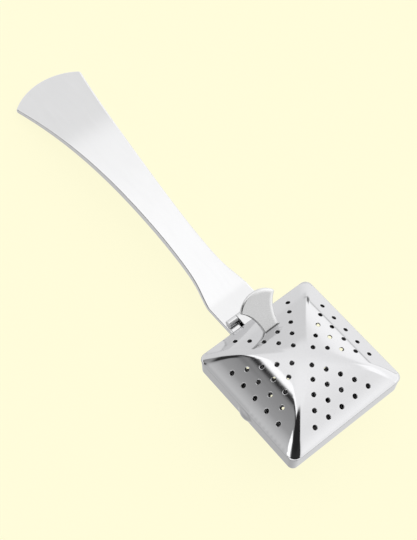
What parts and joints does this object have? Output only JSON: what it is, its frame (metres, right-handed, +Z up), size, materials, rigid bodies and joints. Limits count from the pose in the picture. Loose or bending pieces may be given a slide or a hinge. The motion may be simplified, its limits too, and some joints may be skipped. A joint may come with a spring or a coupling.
{
  "type": "tea infuser",
  "caption": "Square perforated steel tea infuser: vaulted lid hinged on a basket at the end of a flared handle, opened by a thumb tab.",
  "frame": {"origin": "centre of the bounding box, on the table that the basket and the handle's tip rest on", "axes": "+Z up from the table, +X from the handle towards the head, +Y across the handle along the hinge pin"},
  "size_m": [0.16, 0.0472, 0.0279],
  "materials": {
    "handle_steel": "polished stainless steel",
    "shell_steel": "mirror-polished stainless steel",
    "hinge_steel": "polished stainless steel",
    "satin_steel": "satin stainless steel"
  },
  "bodies": {
    "basket": {"handle": "handle_steel", "handle_hinge_leaf": "hinge_steel", "hinge_pin": "hinge_steel", "basket": "shell_steel"},
    "lid": {"lid": "shell_steel", "lid_hinge_leaf": "hinge_steel", "thumb_tab": "satin_steel"}
  },
  "joints": [
    {"name": "lid_hinge", "type": "hinge", "parent": "basket", "child": "lid", "pos_m": [0.03102, 0, 0.01113], "axis": [0, -1, 0], "range_deg": [0, 92]}
  ]
}
